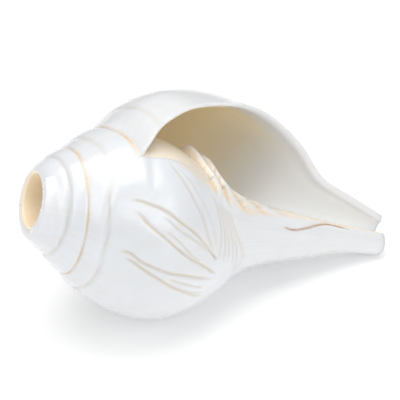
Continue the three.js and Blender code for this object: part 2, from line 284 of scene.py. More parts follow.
class Skin:
    """Flat points (a, r, angle) and the faces between them."""

    def __init__(self):
        self.points, self.faces, self.grown = [], [], []

    def add(self, points, grown):
        start = sum(len(p) for p in self.points)
        self.points.append(np.asarray(points, float))
        self.grown.append(np.asarray(grown, float))
        return np.arange(start, start + len(points))

    def quads(self, near, far):
        """Faces between two rows of the same length."""
        self.faces += np.stack([near[:-1], far[:-1], far[1:], near[1:]], -1).tolist()

    def ladder(self, left, right, flip):
        """Triangles between two rows of different lengths."""
        i = j = 0
        while i < len(left) - 1 or j < len(right) - 1:
            if i / (len(left) - 1) <= j / (len(right) - 1) and i < len(left) - 1:
                face = [int(left[i]), int(left[i + 1]), int(right[j])]
                i += 1
            else:
                face = [int(left[i]), int(right[j + 1]), int(right[j])]
                j += 1
            self.faces.append(face[::-1] if flip else face)

    def object(self, name):
        mesh = bpy.data.meshes.new(name)
        mesh.from_pydata(np.concatenate(self.points).tolist(), [], self.faces)
        grown = np.concatenate(self.grown)
        for column, label in enumerate(("turn", "station", "wall")):
            values = mesh.attributes.new(label, "FLOAT", "POINT").data
            values.foreach_set("value", grown[:, column].astype(np.float32))
        made = bpy.data.objects.new(name, mesh)
        bpy.context.collection.objects.link(made)
        return made


print("walls a point can belong to:", BORED + 1)

# %% Rows and columns of the outside
FINE_FROM, FINE_TO = -0.14, 0.42     # part of each turn, past the lip, that faces the viewer
COLUMNS_FINE, COLUMNS_PLAIN = 230, 60
SPIRE_ROWS, BODY_ROWS, NECK_ROWS = 15, 120, 36
NECK_STATION = 0.82
SAME_COLUMN = 1e-4                   # turns: closer columns are one
quick = 1.0
fine = np.linspace(FINE_FROM, FINE_TO, int(COLUMNS_FINE * quick), endpoint=False)
plain = np.linspace(FINE_TO, FINE_FROM + 1, int(COLUMNS_PLAIN * quick), endpoint=False)
one_turn = np.sort(np.concatenate([[0.0], np.concatenate([fine, plain]) % 1]))
one_turn = one_turn[np.concatenate([[True], np.diff(one_turn) > SAME_COLUMN])]
columns = np.concatenate([one_turn + k for k in (-3, -2, -1)] + [[0.0]])
per_turn = len(one_turn)
back_column, last_column = 2 * per_turn, 3 * per_turn
spire_rows = np.linspace(0, SPIRE_STATION, int(SPIRE_ROWS * quick), endpoint=False)
body_rows = np.linspace(SPIRE_STATION, NECK_STATION, int(BODY_ROWS * quick), endpoint=False)
neck_rows = np.linspace(NECK_STATION, 1, int(NECK_ROWS * quick))
rows = np.concatenate([spire_rows, body_rows, neck_rows])
seam = len(spire_rows)
print("outside:", len(rows), "rows and", len(columns), "columns")


# %% Weave the outside
def weave_outside():
    """The closed outside: whorls, the step at the lip, and a point at each end."""
    skin = Skin()
    ids = np.full((last_column + 1, len(rows)), -1)

    def fill(column_range, row_range):
        c, k = np.meshgrid(column_range, row_range, indexing="ij")
        turns = columns[c] + LIP_ANGLES[0] / 360
        grown = turn_at_angle(turns, rows[k])
        place = outside(grown, rows[k])
        flat = np.stack([place[..., 0], place[..., 1], turns], -1).reshape(-1, 3)
        marks = np.stack([grown, rows[k], np.full_like(grown, OUTSIDE)], -1)
        ids[c, k] = skin.add(flat, marks.reshape(-1, 3)).reshape(c.shape)

    fill(np.arange(back_column + 1), np.arange(seam))
    fill([back_column], np.arange(seam + 1, len(rows)))
    fill(np.arange(back_column + 1, last_column + 1), np.arange(len(rows)))
    ids[:back_column + 1, seam] = ids[per_turn:last_column + 1, 0]
    for c in range(last_column):
        depth = seam + 1 if c < back_column else len(rows)
        skin.quads(ids[c, :depth], ids[c + 1, :depth])
    top, bottom = ids[last_column], ids[back_column]
    skin.faces += [[int(i) for i in top[:seam + 1][::-1]]]
    skin.quads(top[seam:], bottom[seam:])
    apex = skin.add([(APEX_A / 2, 0, 0)], [(-3, 0, OUTSIDE)])[0]
    for c in range(per_turn):
        skin.faces.append([int(apex), int(ids[c + 1, 0]), int(ids[c, 0])])
    skin.faces.append([int(apex)] + [int(i) for i in ids[0, :seam + 1]])
    tip = skin.add([(LIP_OUTLINE[-1, 0], 0, 0)], [(0, 1, OUTSIDE)])[0]
    for c in range(back_column, last_column):
        skin.faces.append([int(tip), int(ids[c, -1]), int(ids[c + 1, -1])])
    skin.faces.append([int(tip), int(ids[last_column, -1]), int(ids[back_column, -1])])
    return skin


outer_skin = weave_outside()
print("outside woven:", len(outer_skin.faces), "faces")

# %% Weave the hollow
SEEN_FROM = -0.7         # the mouth shows the hollow from about this turn on
DEEP_LOOPS, SEEN_LOOPS, EDGE_LOOPS, PAST_LOOPS = 40, 110, 7, 90
OUTER_POINTS, INNER_POINTS = 44, 84
JUST_PAST = 0.0008       # the first loop past the lip, in turns
HOLLOW_REACH = 1.06      # station the cutter reaches at the mouth, past the tip of the canal
CANAL_SHARE = 0.7        # share of the canal's turns in which it opens


def hollow_turns():
    """The turns at which the hollow has a loop of points, closest at the lip's round edge."""
    deep = np.linspace(HOLLOW_START, SEEN_FROM, int(DEEP_LOOPS * quick), endpoint=False)
    seen = np.linspace(SEEN_FROM, -LIP_ROUND, int(SEEN_LOOPS * quick), endpoint=False)
    edge = -LIP_ROUND * (1 - np.sin(np.linspace(0, np.pi / 2, EDGE_LOOPS)))
    past = np.linspace(JUST_PAST, OPEN_TURNS, int(PAST_LOOPS * quick))
    return np.concatenate([deep, seen, edge, past])


def weave_hollow():
    skin = Skin()
    outer_share = np.linspace(0, 1, int(OUTER_POINTS * quick))
    inner_share = np.linspace(0, 1, int(INNER_POINTS * quick))
    loops = []
    for turn in hollow_turns():
        opened = smooth((turn + CANAL_TURNS) / (CANAL_TURNS * CANAL_SHARE))
        lowest = HOLLOW_FOOT + (HOLLOW_REACH - HOLLOW_FOOT) * opened
        outer_top, inner_top = corner(turn)
        outer = outer_top + (lowest - outer_top) * outer_share
        inner = inner_top + (lowest - inner_top) * inner_share
        roof = outside(turn, outer, FLARE if turn > 0 else -wall_at(turn))
        floor = inner_wall(turn, inner)
        angles = np.concatenate([angle_turns(turn, outer), angle_turns(turn - 1, inner)[::-1] + 1])
        points = np.concatenate([roof, floor[::-1]])
        stations = np.concatenate([outer, inner[::-1]])
        walls = np.repeat([ROOF, PILLAR_SIDE], [len(outer), len(inner)])
        grown = np.stack([np.full(len(stations), turn), stations, walls], -1)
        loops.append(skin.add(np.column_stack([points, angles]), grown))
    for near, far in zip(loops[:-1], loops[1:]):
        skin.quads(np.append(near, near[0]), np.append(far, far[0]))
    for loop, flip in ((loops[0], False), (loops[-1], True)):
        skin.ladder(loop[:len(outer_share)], loop[:len(outer_share) - 1:-1], flip)
    return skin


hollow_skin = weave_hollow()
print("hollow woven:", len(hollow_skin.faces), "faces")

# %% [markdown]
# ## Turned cutters
# The saw took off everything above one plane, and a grinding wheel rounded the shoulder below it. The
# blow hole was then opened with a burr, which left its edge soft. Two cutters do that work: one for
# what the saw and the wheel took away, one for the hole. Both are turned shapes, so each is a profile
# carried once round the axis. Like the skins, they are made flat, and wound later.

# %% Saw and burr
SAWN_A, RIM_RADIUS, SHOULDER = -2.0, 12.6, 2.0
HOLE_RADIUS, HOLE_RISE, HOLE_DEPTH = 10.0, 0.5, 20.0
HOLE_EASE = 1.0          # how far the hole's edge is rounded
SHOULDER_STEEP = 1.7     # the shoulder falls this much further than it runs
OVER_APEX, OVER_SIDE, OVER_RIM = 5, 60, 3    # how far the cutters reach beyond the shell
STRAIGHT_SHARE, CUP_SHARE, CUP_NARROWS = 0.45, 0.55, 0.94    # of the hole's depth and of its radius
SIDES = 120


def weave_turned(profile, kind, rise=0.0):
    """A turned cutter; kind marks its points, and rise lifts its centre line off the coiling axis."""
    skin = Skin()
    profile = np.array(profile, float)
    loops = []
    for angle in np.linspace(0, 2 * np.pi, SIDES, endpoint=False):
        side = profile[:, 1] * np.sin(angle) + rise * math.sin(-ROLL)
        high = profile[:, 1] * np.cos(angle) + rise * math.cos(-ROLL)
        turns = np.arctan2(side, high) / (2 * np.pi)
        flat = np.column_stack([profile[:, 0], np.hypot(side, high), turns])
        loops.append(skin.add(flat, np.tile([0, 0, kind], (len(profile), 1))))
    for near, far in zip(loops, loops[1:] + loops[:1]):
        skin.quads(near, far)
    return skin


def arc(centre, radii, start, end, count):
    """Points (a, r) on an arc, with its angles in degrees from the +a direction towards +r."""
    angles = np.radians(np.linspace(start, end, count))
    return np.column_stack([centre[0] + radii[0] * np.cos(angles), centre[1] + radii[1] * np.sin(angles)])


# %% What the saw and the grinding wheel took away
shoulder_drop = SHOULDER * SHOULDER_STEEP
shoulder = arc((SAWN_A + SHOULDER, RIM_RADIUS), (SHOULDER, shoulder_drop), 90, 180, 9)
above = [(APEX_A - OVER_APEX, 0), (APEX_A - OVER_APEX, OVER_SIDE), (SAWN_A + SHOULDER, OVER_SIDE)]
sawn_away = weave_turned([*above, *shoulder, (SAWN_A, 0)], SAWN)
print("sawn away:", len(sawn_away.faces), "faces")

# %% What the burr took away
ease = arc((SAWN_A + HOLE_EASE, HOLE_RADIUS + HOLE_EASE), (HOLE_EASE, HOLE_EASE), 180, 270, 7)
cup = arc((SAWN_A + HOLE_DEPTH * STRAIGHT_SHARE, 0), (HOLE_DEPTH * CUP_SHARE, HOLE_RADIUS * CUP_NARROWS),
          90, 0, 16)
top = [(SAWN_A - OVER_RIM, 0), (SAWN_A - OVER_RIM, HOLE_RADIUS + HOLE_EASE)]
blow_hole = weave_turned([*top, *ease, *cup], BORED, HOLE_RISE)
print("blow hole:", len(blow_hole.faces), "faces,", HOLE_RADIUS * 2, "mm wide")

# %% [markdown]
# ## Winding and cutting with Geometry Nodes
# A node group winds a flat skin round the axis and lays the shell down as it rests. The main tree
# winds all four skins with it, and cuts three of them out of the first. Changing the roll or the dip
# of the axis is then a matter of one input. The cut carries each point's turn, station and wall with
# it, which is why the carving and the colours can be laid out afterwards. Where two skins cross at a
# shallow angle it leaves tiny slivers, so points nearly on top of each other are merged after it.

# %% Helpers for node trees
def add(tree, kind, inputs=(), **settings):
    """A node with its settings, and a value or a link for each input named or numbered."""
    node = tree.nodes.new(kind)
    for name, value in settings.items():
        setattr(node, name, value)
    for name, value in dict(inputs).items():
        if isinstance(value, bpy.types.NodeSocket):
            tree.links.new(value, node.inputs[name])
        else:
            node.inputs[name].default_value = value
    return node


def maths(tree, operation, *values):
    """A sum or a function of values and links, as a socket."""
    return add(tree, "ShaderNodeMath", enumerate(values), operation=operation).outputs[0]


def socket(tree, name, kind, output=False, **settings):
    """A named input of a tree, or an output."""
    made = tree.interface.new_socket(name, in_out="OUTPUT" if output else "INPUT", socket_type=kind)
    for key, value in settings.items():
        setattr(made, key, value)


# %% The winding group
REST_PLACE = (-68.919, -4.402, 60.76)   # the middle of the sawn end, in mm, as the shell rests
WELD, SLIVER = 2e-7, 1e-5               # metres: points closer than this are one, wound and cut

wind_tree = bpy.data.node_groups.new("Wind round the axis", "GeometryNodeTree")
socket(wind_tree, "Flat skin", "NodeSocketGeometry")
socket(wind_tree, "Roll", "NodeSocketFloat", default_value=ROLL)
socket(wind_tree, "Nose down", "NodeSocketFloat", default_value=NOSE_DOWN)
socket(wind_tree, "Rest place", "NodeSocketVector", default_value=REST_PLACE)
socket(wind_tree, "Wound skin", "NodeSocketGeometry", output=True)
given = wind_tree.nodes.new("NodeGroupInput").outputs
flat_place = wind_tree.nodes.new("GeometryNodeInputPosition").outputs[0]
flat = add(wind_tree, "ShaderNodeSeparateXYZ", {0: flat_place})
around = maths(wind_tree, "MULTIPLY_ADD", flat.outputs[2], 2 * math.pi, given["Roll"])
side = maths(wind_tree, "MULTIPLY", flat.outputs[1], maths(wind_tree, "SINE", around))
high = maths(wind_tree, "MULTIPLY", flat.outputs[1], maths(wind_tree, "COSINE", around))
right_handed = maths(wind_tree, "MULTIPLY", side, -1.0)
rolled = add(wind_tree, "ShaderNodeCombineXYZ", {0: flat.outputs[0], 1: right_handed, 2: high})
tipped = add(wind_tree, "ShaderNodeVectorRotate",
             {"Vector": rolled.outputs[0], "Angle": given["Nose down"]}, rotation_type="Y_AXIS")
placed = add(wind_tree, "ShaderNodeVectorMath",
             {0: tipped.outputs[0], 1: given["Rest place"]}, operation="ADD")
metres = add(wind_tree, "ShaderNodeVectorMath", {0: placed.outputs[0], "Scale": MM}, operation="SCALE")
moved = add(wind_tree, "GeometryNodeSetPosition",
            {"Geometry": given["Flat skin"], "Position": metres.outputs[0]})
welded = add(wind_tree, "GeometryNodeMergeByDistance",
             {"Geometry": moved.outputs[0], "Distance": WELD})
wind_tree.links.new(welded.outputs[0], wind_tree.nodes.new("NodeGroupOutput").inputs[0])
print("winding group:", len(wind_tree.nodes), "nodes")

# %% The shell's tree
shell_tree = bpy.data.node_groups.new("Chank shell", "GeometryNodeTree")
socket(shell_tree, "Outside", "NodeSocketGeometry")
for name in ("Hollow", "Sawn away", "Blow hole"):
    socket(shell_tree, name, "NodeSocketObject")
socket(shell_tree, "Roll", "NodeSocketFloat", default_value=ROLL)
socket(shell_tree, "Nose down", "NodeSocketFloat", default_value=NOSE_DOWN)
socket(shell_tree, "Finish", "NodeSocketMaterial")
socket(shell_tree, "Shell", "NodeSocketGeometry", output=True)
given = shell_tree.nodes.new("NodeGroupInput").outputs


def wound(geometry):
    """A flat skin, wound by the group above with this tree's roll and dip."""
    group = shell_tree.nodes.new("GeometryNodeGroup")
    group.node_tree = wind_tree
    shell_tree.links.new(geometry, group.inputs["Flat skin"])
    shell_tree.links.new(given["Roll"], group.inputs["Roll"])
    shell_tree.links.new(given["Nose down"], group.inputs["Nose down"])
    return group.outputs[0]


# %% Cut the hollow, the sawn end and the blow hole
cut = add(shell_tree, "GeometryNodeMeshBoolean", {"Mesh 1": wound(given["Outside"])},
          operation="DIFFERENCE", solver="MANIFOLD")
for name in ("Hollow", "Sawn away", "Blow hole"):
    cutter = add(shell_tree, "GeometryNodeObjectInfo", {"Object": given[name]})
    shell_tree.links.new(wound(cutter.outputs["Geometry"]), cut.inputs["Mesh 2"])
cleaned = add(shell_tree, "GeometryNodeMergeByDistance",
              {"Geometry": cut.outputs["Mesh"], "Distance": SLIVER})
single = add(shell_tree, "GeometryNodeRealizeInstances", {0: cleaned.outputs[0]})
finished = add(shell_tree, "GeometryNodeSetMaterial",
               {"Geometry": single.outputs[0], "Material": given["Finish"]})
shell_tree.links.new(finished.outputs[0], shell_tree.nodes.new("NodeGroupOutput").inputs[0])
print("shell tree:", len(shell_tree.nodes), "nodes")

# %% [markdown]
# ## The finish
# The material is aragonite, the shell's own mineral, ground and polished until it looks like glazed
# china: cool white, hardly rough, and slightly clouded. The carving and the spiral are darker with painted
# shade. The growth lines of the seam hold orange dust, the glaze inside the mouth is cream with a painted
# highlight on each fold and painted shade in the creases, the inside of the canal is painted whiter than
# the outside as painted light, and the wall of the mouth turns tan with depth. Each of those is a mask
# stored on the mesh as an attribute, because they follow the growth and not space, and the nodes mix one
# colour over another by them.

# %% Colours and material
def linear(code):
    """A linear colour with alpha from an sRGB hex code."""
    parts = [int(code[i:i + 2], 16) / 255 for i in (0, 2, 4)]
    return [p / 12.92 if p <= 0.04045 else ((p + 0.055) / 1.055) ** 2.4 for p in parts] + [1.0]


shell_finish = bpy.data.materials.new("polished aragonite")
shell_finish.use_nodes = True
nodes = shell_finish.node_tree
surface = nodes.nodes["Principled BSDF"]


def mask(name):
    """One of the masks stored on the mesh, from 0 to 1."""
    return add(nodes, "ShaderNodeAttribute", attribute_name=name).outputs["Fac"]


def layer(under, over, amount):
    """One colour laid over another by an amount; each is a hex code or a link."""
    mix = add(nodes, "ShaderNodeMix", {0: amount}, data_type="RGBA")
    for place, colour in ((6, under), (7, over)):
        if isinstance(colour, str):
            mix.inputs[place].default_value = linear(colour)
        else:
            nodes.links.new(colour, mix.inputs[place])
    return mix.outputs[2]


# %% Clouds and growth lines
CLOUD_SCALE = 38.0       # clouds to a metre, so one is about 26 mm wide
LINES_PER_TURN, LINES_DOWN = 60.0, 2.5   # growth lines run from suture to canal, close together
position = add(nodes, "ShaderNodeTexCoord").outputs["Object"]
clouds = add(nodes, "ShaderNodeTexNoise", {"Vector": position, "Scale": CLOUD_SCALE, "Detail": 3.0})
grown_at = add(nodes, "ShaderNodeCombineXYZ", {
    0: maths(nodes, "MULTIPLY", mask("turn"), LINES_PER_TURN),
    1: maths(nodes, "MULTIPLY", mask("station"), LINES_DOWN)})
growth_lines = add(nodes, "ShaderNodeTexNoise",
                   {"Vector": grown_at.outputs[0], "Scale": 1.0, "Detail": 4.0})
clouded = add(nodes, "ShaderNodeMapRange", {0: clouds.outputs[0], 1: 0.3, 2: 0.7},
              interpolation_type="SMOOTHSTEP")
lined = add(nodes, "ShaderNodeMapRange", {0: growth_lines.outputs[0], 1: 0.4, 2: 0.62, 4: 0.35})

# %% Colours, laid one over another
WHITE, CLOUD, GROWTH_LINE = "E9EBEE", "E4E6E8", "E2E0DE"
LAYERS = (               # each mask and its colour, the lowest first
    ("groove_shade", "DFD2C0"),    # painted shade in the carving
    ("cream_and_fold_light", "F1DEC4"),     # the glaze beside the mouth, with a painted highlight on each fold's crest and painted shade in its creases
    ("canal_light", "FAFCFC"),     # painted light: the inside of the canal is painted whiter than the outside
    ("tan", "FDE8BE"),       # the deep wall of the mouth
    ("bore", "FDEBD2"),      # the blow hole
    ("seam", "EBC078"),      # orange dust between two whorls
    ("stain", "CF8F22"))     # the stain in the blow hole and in the slit, and painted shade in the pillar's creases
colour = layer(WHITE, CLOUD, clouded.outputs[0])
colour = layer(colour, GROWTH_LINE, lined.outputs[0])
for name, code in LAYERS:
    colour = layer(colour, code, mask(name))
nodes.links.new(colour, surface.inputs["Base Color"])
print("layers of colour:", len(LAYERS) + 2)

# %% Gloss and depth
# Aragonite bends light a little more than glass. Light sinks a few millimetres in before it comes
# back, red the furthest, and the polish is a thin, harder shine over a softer one.
surface.inputs["IOR"].default_value = 1.53
worn = add(nodes, "ShaderNodeMapRange", {0: clouds.outputs[0], 1: 0.2, 2: 0.8, 3: 0.18, 4: 0.26})
nodes.links.new(worn.outputs[0], surface.inputs["Roughness"])
surface.inputs["Subsurface Weight"].default_value = 0.45
surface.inputs["Subsurface Radius"].default_value = (1.0, 0.85, 0.6)
surface.inputs["Subsurface Scale"].default_value = 0.005
surface.inputs["Coat Weight"].default_value = 0.25
surface.inputs["Coat Roughness"].default_value = 0.06
ripple = add(nodes, "ShaderNodeBump",
             {"Strength": 0.10, "Distance": 0.0006, "Height": growth_lines.outputs[0]})
nodes.links.new(ripple.outputs[0], surface.inputs["Normal"])
print("material:", len(nodes.nodes), "nodes")

# %% Wind and cut the shell
flat_objects = {name: skin.object(name) for name, skin in (
    ("outside", outer_skin), ("hollow", hollow_skin), ("sawn away", sawn_away), ("blow hole", blow_hole))}
raw = flat_objects["outside"]
modifier = raw.modifiers.new("shell", "NODES")
modifier.node_group = shell_tree
identifiers = {item.name: item.identifier for item in shell_tree.interface.items_tree}
modifier[identifiers["Hollow"]] = flat_objects["hollow"]
modifier[identifiers["Sawn away"]] = flat_objects["sawn away"]
modifier[identifiers["Blow hole"]] = flat_objects["blow hole"]
modifier[identifiers["Roll"]] = ROLL
modifier[identifiers["Nose down"]] = NOSE_DOWN
modifier[identifiers["Finish"]] = shell_finish
evaluated = raw.evaluated_get(bpy.context.evaluated_depsgraph_get())
shell_mesh = bpy.data.meshes.new_from_object(evaluated)
shell = bpy.data.objects.new("chank_shell", shell_mesh)
bpy.context.collection.objects.link(shell)
for used in flat_objects.values():
    bpy.data.objects.remove(used)
print("cut:", len(shell_mesh.vertices), "points,", len(shell_mesh.polygons), "faces")

# %% [markdown]
# ## Carving and folds
# The carver drew two leaves, a third in outline and a bundle of fine lines with a small wheel. Each
# line is a few control points, as station and degrees past the lip's own place, and a smooth curve
# carries the wheel through them. The cut is a displacement of the finished mesh: every point moves in
# along its normal by a bell curve of its distance from the line. Doing it on the mesh, and not in the
# growth law, keeps the law simple.

# %% Read the mesh in shell coordinates
def read(name):
    """One stored value for each point of the mesh."""
    values = np.zeros(len(shell_mesh.vertices), np.float32)
    shell_mesh.attributes[name].data.foreach_get("value", values)
    return values.astype(float)


points = np.zeros(len(shell_mesh.vertices) * 3)
shell_mesh.vertices.foreach_get("co", points)
points = points.reshape(-1, 3) / MM
normals = np.array([v.normal for v in shell_mesh.vertices])
turn, station, wall = read("turn"), read("station"), read("wall").round()
local = points - np.array(REST_PLACE)
along_axis = local[:, 0] * math.cos(NOSE_DOWN) - local[:, 2] * math.sin(NOSE_DOWN)
upright = local[:, 0] * math.sin(NOSE_DOWN) + local[:, 2] * math.cos(NOSE_DOWN)
radius = np.hypot(local[:, 1], upright)
degrees = np.degrees(np.arctan2(-local[:, 1], upright) - ROLL) % 360
outer = wall == OUTSIDE
print("points on the outside:", int(outer.sum()), "of", len(points))

# %% Curves on the shell
REACH = 3                # mm from a line beyond which nothing is cut
OUT_OF_REACH = 99.0


def curve(knots, count=90):
    """A smooth curve through a few points, at even steps."""
    knots = np.array(knots, float)
    steps = np.arange(len(knots), dtype=float)
    return weights(steps, np.linspace(0, steps[-1], count)) @ knots


def on_shell(stations, degrees_past, whorl):
    """Where a place on the outside is, in mm, as the shell rests."""
    turns = degrees_past / 360 + whorl
    flat = outside(turn_at_angle(turns, stations), stations)
    angle = turns * 2 * np.pi + ROLL
    side, high = -flat[:, 1] * np.sin(angle), flat[:, 1] * np.cos(angle)
    x = flat[:, 0] * math.cos(NOSE_DOWN) + high * math.sin(NOSE_DOWN)
    z = -flat[:, 0] * math.sin(NOSE_DOWN) + high * math.cos(NOSE_DOWN)
    return np.column_stack([x, side, z]) + np.array(REST_PLACE)


def distance_to(path):
    """Each point's distance from a path, and how far along it the nearest place is, from 0 to 1."""
    tree = KDTree(len(path))
    for i, place in enumerate(path):
        tree.insert(place, i)
    tree.balance()
    away, share = np.full(len(points), OUT_OF_REACH), np.zeros(len(points))
    low, high = path.min(0) - REACH, path.max(0) + REACH
    for i in np.flatnonzero(((points > low) & (points < high)).all(1)):
        _, nearest, away[i] = tree.find(points[i])
        share[i] = nearest / (len(path) - 1)
    return away, share


def bell(away, width):
    """One on the line, and less and less away from it."""
    return np.exp(-(away / width) ** 2)


# %% The carved lines
LINES = {   # (station, degrees) along each line; depth and width in mm
    "leaf back": ([(0.122, 79), (0.167, 80), (0.283, 83), (0.372, 89), (0.477, 97), (0.571, 111),
                   (0.6, 117)], 0.7, 0.62),
    "leaf vein": ([(0.289, 87), (0.372, 94), (0.477, 101), (0.58, 112)], 0.4, 0.5),
    "leaf belly": ([(0.145, 86), (0.224, 93), (0.321, 101), (0.416, 109), (0.531, 118), (0.625, 131)],
                   0.7, 0.62),
    "leaf fold": ([(0.311, 96), (0.378, 101), (0.449, 109), (0.505, 114)], 0.4, 0.5),
    "low leaf back": ([(0.135, 115), (0.175, 114.5), (0.235, 118), (0.344, 121), (0.472, 124), (0.62, 133)],
                      0.7, 0.62),
    "low leaf belly": ([(0.146, 117), (0.244, 122), (0.36, 129), (0.47, 137), (0.566, 148)], 0.7, 0.62),
    "low leaf vein": ([(0.351, 125), (0.45, 129), (0.56, 137)], 0.45, 0.5),
    "low leaf fold": ([(0.372, 130), (0.464, 135), (0.571, 144)], 0.45, 0.5),
    "outline leaf": ([(0.36, 48), (0.399, 57), (0.443, 68), (0.494, 82), (0.535, 97), (0.592, 116)],
                     0.45, 0.6),
    "outline leaf twin": ([(0.4, 52), (0.47, 62), (0.52, 76), (0.56, 90), (0.6, 112)], 0.25, 0.5),
}
FAN = ([(0.58, 62), (0.615, 80), (0.62, 98), (0.605, 118)],      # its first line and its last
       [(0.70, 70), (0.73, 90), (0.765, 112), (0.785, 140)])
FAN_LINES = 6
FAN_DEPTH, FAN_WIDTH = 0.4, 0.6
for k in range(FAN_LINES):
    share = k / (FAN_LINES - 1)
    LINES[f"fan {k}"] = ([(a[0] + (b[0] - a[0]) * share, a[1] + (b[1] - a[1]) * share)
                          for a, b in zip(*FAN)], FAN_DEPTH, FAN_WIDTH)
print("lines to carve:", len(LINES))

# %% Carve them
RUN_IN, RUN_OUT = 0.18, 0.12    # share of a line over which the wheel sinks in, and lifts out
GROOVE_SHADE = 1.3               # a deeper cut gets darker painted shade
WHORL_BEFORE, THIS_WHORL = -1, 0
move = np.zeros(len(points))
groove_shade = np.zeros(len(points))
for name, (knots, depth, width) in LINES.items():
    knots = curve(knots)
    away, share = distance_to(on_shell(knots[:, 0], knots[:, 1], WHORL_BEFORE))
    run_out = smooth(share / RUN_IN) * smooth((1 - share) / RUN_OUT)
    cut = bell(away, width) * run_out * outer
    move = np.minimum(move, -depth * cut)
    # The carving's colour is painted shade in the grooves, darker where the cut is deeper.
    groove_shade = np.maximum(groove_shade, cut * min(1, depth * GROOVE_SHADE))
print("carved", len(LINES), "lines, deepest", round(-move.min(), 2), "mm")

# %% [markdown]
# ## Seam and spiral
# Where one whorl lies on the next there is a narrow seam, and orange dust has stayed in it. Half way
# down each whorl of the spire runs a second groove, broad and soft, lightly tinted with painted shade.
# Both follow the coil, so they are long paths of the growth law, cut with the same bell curve as the
# carving.

# %% The seam between whorls
PATH_POINTS = 900        # for a path that goes round several times
SEAM_TURNS = (-2.6, -0.002)
SEAM_DEPTH, SEAM_WIDTH, DUST_WIDTH = 0.5, 0.55, 0.42    # mm
SEAM_SHOWS, SEAM_FADES = -1.5, 0.12     # nearer the sawn end the polisher has closed the seam
seam_turns = np.linspace(*SEAM_TURNS, PATH_POINTS)
seam_path = on_shell(np.zeros(PATH_POINTS), seam_turns * 360 + LIP_ANGLES[0], THIS_WHORL)
away, _ = distance_to(seam_path)
shown = smooth((turn - SEAM_SHOWS) / SEAM_FADES)
dusty = 0.35 + 0.4 * np.sin(turn * 31) ** 2     # the dust comes and goes along the seam
seam_mask = dusty * bell(away, DUST_WIDTH) * outer * shown
move -= SEAM_DEPTH * bell(away, SEAM_WIDTH) * outer * shown
print("points in the seam:", int((seam_mask > 0.1).sum()))

# %% The soft spiral between two seams
SPIRAL = [               # turn and station
    (-2.3, 0.045), (-2, 0.06), (-1.85, 0.056), (-1.64, 0.03), (-1.4, 0.05), (-1.13, 0.066),
    (-0.95, 0.07), (-0.85, 0.092), (-0.68, 0.108), (-0.4, 0.1), (0, 0.1)]
SPIRAL_DEPTH, SPIRAL_WIDTH = 0.8, 0.85                  # mm
# The spiral's tint is painted shade along its groove.
SPIRAL_SHADE, SPIRAL_SHADE_WIDTH = 0.4, 0.7
spiral = curve(SPIRAL, PATH_POINTS)
away, _ = distance_to(on_shell(spiral[:, 1], spiral[:, 0] * 360 + LIP_ANGLES[0], THIS_WHORL))
move -= SPIRAL_DEPTH * bell(away, SPIRAL_WIDTH) * outer
groove_shade = np.maximum(groove_shade, SPIRAL_SHADE * bell(away, SPIRAL_SHADE_WIDTH) * outer)
print("points in the spiral:", int((bell(away, SPIRAL_WIDTH) * outer > 0.1).sum()))

# %% [markdown]
# ## The folds on the pillar
# The animal's muscle held on to four folds that wind down the pillar. Where they come out of the
# mouth each is a lobe between two creases: it rises steeply from one and sinks slowly to the next.
# They stand out, so they are moved straight out from the axis, and not along the normals, which
# differ too much from point to point there. The creases are given as stations at a few angles.

# %% The folds on the pillar
FRONT_TURN, BEHIND_TURN = -0.5, -0.1    # the glaze beside the mouth, outside and inside the cut
front = (outer & (turn < FRONT_TURN)) | ((wall == PILLAR_SIDE) & (turn > BEHIND_TURN))
CREASES = [   # degrees past the lip's own place, and the five creases' stations there
    (0, 0.55, 0.635, 0.69, 0.74, 0.79), (20, 0.575, 0.66, 0.72, 0.765, 0.81),
    (34, 0.60, 0.685, 0.755, 0.80, 0.84), (46, 0.62, 0.70, 0.78, 0.825, 0.86),
    (58, 0.635, 0.715, 0.795, 0.84, 0.875), (70, 0.65, 0.73, 0.805, 0.85, 0.885)]
FOLD_HEIGHTS = (2.8, 3.4, 2.4, 1.4)     # mm
FOLD_PEAK = 3 ** 1.5 / 2                # brings the highest point of s ** 0.5 * (1 - s) to one
FADE_IN, FADE_OUT, FOLDS_END = 12, 26, 74               # degrees
STATION_MM, CREASE_WIDTH = 92, 0.6      # one station is about 92 mm long
past_lip = (degrees + 180) % 360 - 180
creases = curve(CREASES)
creases = [np.interp(past_lip, creases[:, 0], creases[:, k]) for k in range(1, 6)]
fade = smooth(past_lip / FADE_IN) * smooth((FOLDS_END - past_lip) / FADE_OUT) * front
# crest and crease are masks of painted light on the glaze: a painted highlight on each fold's crest and
# painted shade in each crease.
bulge, crest_highlight, crease_shade = np.zeros((3, len(points)))
for height, start, end in zip(FOLD_HEIGHTS, creases[:-1], creases[1:]):
    across = np.clip((station - start) / (end - start), 0, 1)
    shape = FOLD_PEAK * np.sqrt(across) * (1 - across) * fade
    bulge += height * shape
    crest_highlight = np.maximum(crest_highlight, shape)
    crease_shade = np.maximum(crease_shade, fade * bell((station - start) * STATION_MM, CREASE_WIDTH))
print("folds stand out by", bulge.max().round(2), "mm")

# %% [markdown]
# ## Slit, glaze edge, stain and swelling
# Low on the pillar the glaze has left a narrow slit open, brown inside. Higher up the glaze ends in a
# thin orange line. Inside the blow hole is an orange stain, of which the mesh holds only a trace: a
# mask needs points to be stored on, and the hole's straight side has none. Last, the whorl swells a
# little behind the lip, more than a quadratic through three outlines gives. Each is one path or one
# soft patch, so none of them needs a change to the growth law.

# %% The slit beside the pillar
CHINK = [(0.868, 77), (0.878, 83), (0.899, 74), (0.917, 61), (0.935, 52), (0.949, 53), (0.962, 56)]
SLIT_DEPTH, SLIT_WIDTH = 0.9, 0.36      # mm
SLIT_IN, SLIT_OUT = 0.1, 0.2            # share of its length over which each end runs out
chink = curve(CHINK)
away, share = distance_to(on_shell(chink[:, 0], chink[:, 1], WHORL_BEFORE))
slit = bell(away, SLIT_WIDTH) * smooth(share / SLIT_IN) * smooth((1 - share) / SLIT_OUT) * outer
move -= SLIT_DEPTH * slit
print("slit:", round(SLIT_DEPTH * slit.max(), 2), "mm deep")

